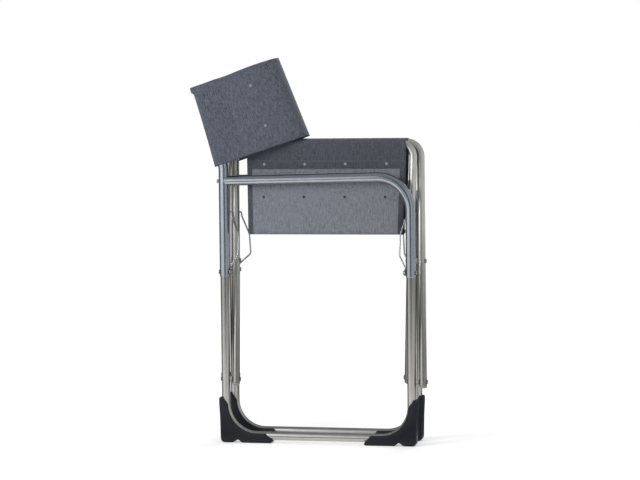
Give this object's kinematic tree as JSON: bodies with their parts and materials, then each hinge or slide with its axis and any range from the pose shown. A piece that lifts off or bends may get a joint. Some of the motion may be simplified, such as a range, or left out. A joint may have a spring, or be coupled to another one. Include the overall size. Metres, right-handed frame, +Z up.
{
  "type": "folding camp chair",
  "caption": "Folding camping armchair of the director's type: tubular side frames, crossed scissor tubes, spring links, sling seat and back, folded flat.",
  "frame": {"origin": "on the floor, below the middle of the folded chair's outline", "axes": "+X towards the front of the chair, +Y towards its left side, +Z up"},
  "size_m": [0.6006, 0.1204, 0.9766],
  "materials": {
    "aluminium_tube": "polished anodised tube",
    "steel_hardware": "bright spring wire, rivets and screws",
    "moulded_plastic": "near-black moulded nylon",
    "back_cloth": "slate grey-blue coated polyester",
    "seat_cloth": "slate grey-blue coated polyester"
  },
  "bodies": {
    "right_frame": {"right_lower_loop": "aluminium_tube", "right_back_post": "aluminium_tube", "right_arm_tube": "aluminium_tube", "right_arm_plug": "moulded_plastic", "right_arm_screw": "steel_hardware", "right_post_cap": "moulded_plastic", "right_rear_foot": "moulded_plastic", "right_front_foot": "moulded_plastic", "right_rear_link_screw": "steel_hardware", "right_front_link_screw": "steel_hardware", "right_rear_pivot_rivet": "steel_hardware", "right_rear_pivot_spacer": "moulded_plastic", "right_front_pivot_rivet": "steel_hardware", "right_front_pivot_spacer": "moulded_plastic"},
    "scissor_a": {"scissor_a_tube": "aluminium_tube", "scissor_a_rear_cap": "moulded_plastic", "scissor_a_front_cap": "moulded_plastic", "centre_rear_rivet": "steel_hardware", "centre_rear_spacer": "moulded_plastic", "centre_front_rivet": "steel_hardware", "centre_front_spacer": "moulded_plastic"},
    "scissor_b": {"scissor_b_tube": "aluminium_tube", "scissor_b_rear_cap": "moulded_plastic", "scissor_b_front_cap": "moulded_plastic"},
    "left_frame": {"left_lower_loop": "aluminium_tube", "left_back_post": "aluminium_tube", "left_arm_tube": "aluminium_tube", "left_arm_plug": "moulded_plastic", "left_arm_screw": "steel_hardware", "left_post_cap": "moulded_plastic", "left_rear_foot": "moulded_plastic", "left_front_foot": "moulded_plastic", "left_rear_link_screw": "steel_hardware", "left_front_link_screw": "steel_hardware", "left_rear_pivot_rivet": "steel_hardware", "left_rear_pivot_spacer": "moulded_plastic", "left_front_pivot_rivet": "steel_hardware", "left_front_pivot_spacer": "moulded_plastic"},
    "right_links": {"right_rear_link": "steel_hardware", "right_front_link": "steel_hardware"},
    "left_links": {"left_rear_link": "steel_hardware", "left_front_link": "steel_hardware"},
    "seat_right": {"seat_right_half": "seat_cloth"},
    "seat_fold": {"seat_fold": "seat_cloth"},
    "seat_left": {"seat_left_half": "seat_cloth"},
    "back_right": {"back_right_half": "back_cloth"},
    "back_fold": {"back_fold": "back_cloth"},
    "back_left": {"back_left_half": "back_cloth"}
  },
  "joints": [
    {"name": "fold", "type": "hinge", "parent": "right_frame", "child": "scissor_a", "pos_m": [0, -0.045, 0.161], "axis": [-1, 0, 0], "range_deg": [0, 45.56]},
    {"name": "scissor_cross", "type": "hinge", "parent": "scissor_a", "child": "scissor_b", "pos_m": [0, 0, 0.46], "axis": [1, 0, 0], "range_deg": [0, 91.13]},
    {"name": "left_frame_swing", "type": "hinge", "parent": "scissor_b", "child": "left_frame", "pos_m": [0, 0.045, 0.161], "axis": [-1, 0, 0], "range_deg": [0, 45.56]},
    {"name": "right_links_swing", "type": "hinge", "parent": "right_frame", "child": "right_links", "pos_m": [0, -0.045, 0.433], "axis": [-1, 0, 0], "range_deg": [0, 79.82]},
    {"name": "left_links_swing", "type": "hinge", "parent": "left_frame", "child": "left_links", "pos_m": [0, 0.045, 0.433], "axis": [1, 0, 0], "range_deg": [0, 79.82]},
    {"name": "seat_right_swing", "type": "hinge", "parent": "scissor_b", "child": "seat_right", "pos_m": [0, -0.0125, 0.757], "axis": [1, 0, 0], "range_deg": [0, 23.5]},
    {"name": "seat_left_swing", "type": "hinge", "parent": "scissor_a", "child": "seat_left", "pos_m": [0, 0.0125, 0.757], "axis": [-1, 0, 0], "range_deg": [0, 23.5]},
    {"name": "seat_fold_turn", "type": "hinge", "parent": "seat_right", "child": "seat_fold", "pos_m": [0, -0.017, 0.53705], "axis": [-1, 0, 0], "range_deg": [0, 69.06]},
    {"name": "back_right_swing", "type": "hinge", "parent": "right_frame", "child": "back_right", "pos_m": [-0.22173, -0.045, 0.70874], "axis": [-0.3123, 0, 0.95], "range_deg": [0, 75.47]},
    {"name": "back_left_swing", "type": "hinge", "parent": "left_frame", "child": "back_left", "pos_m": [-0.22173, 0.045, 0.70874], "axis": [0.3123, 0, -0.95], "range_deg": [0, 75.47]},
    {"name": "back_fold_turn", "type": "hinge", "parent": "back_right", "child": "back_fold", "pos_m": [-0.01332, -0.0285, 0.77726], "axis": [0.3123, 0, -0.95], "range_deg": [0, 75.47]}
  ],
  "couplings": [
    {"joint": "scissor_cross", "follows": "fold", "ratio": 2},
    {"joint": "left_frame_swing", "follows": "fold", "ratio": 1},
    {"joint": "right_links_swing", "follows": "fold", "ratio": 1.7518},
    {"joint": "left_links_swing", "follows": "fold", "ratio": 1.7518},
    {"joint": "seat_right_swing", "follows": "fold", "ratio": 0.51567},
    {"joint": "seat_left_swing", "follows": "fold", "ratio": 0.51567},
    {"joint": "seat_fold_turn", "follows": "fold", "ratio": 1.5157},
    {"joint": "back_right_swing", "follows": "fold", "ratio": 1.6563},
    {"joint": "back_left_swing", "follows": "fold", "ratio": 1.6563},
    {"joint": "back_fold_turn", "follows": "fold", "ratio": 1.6563}
  ]
}
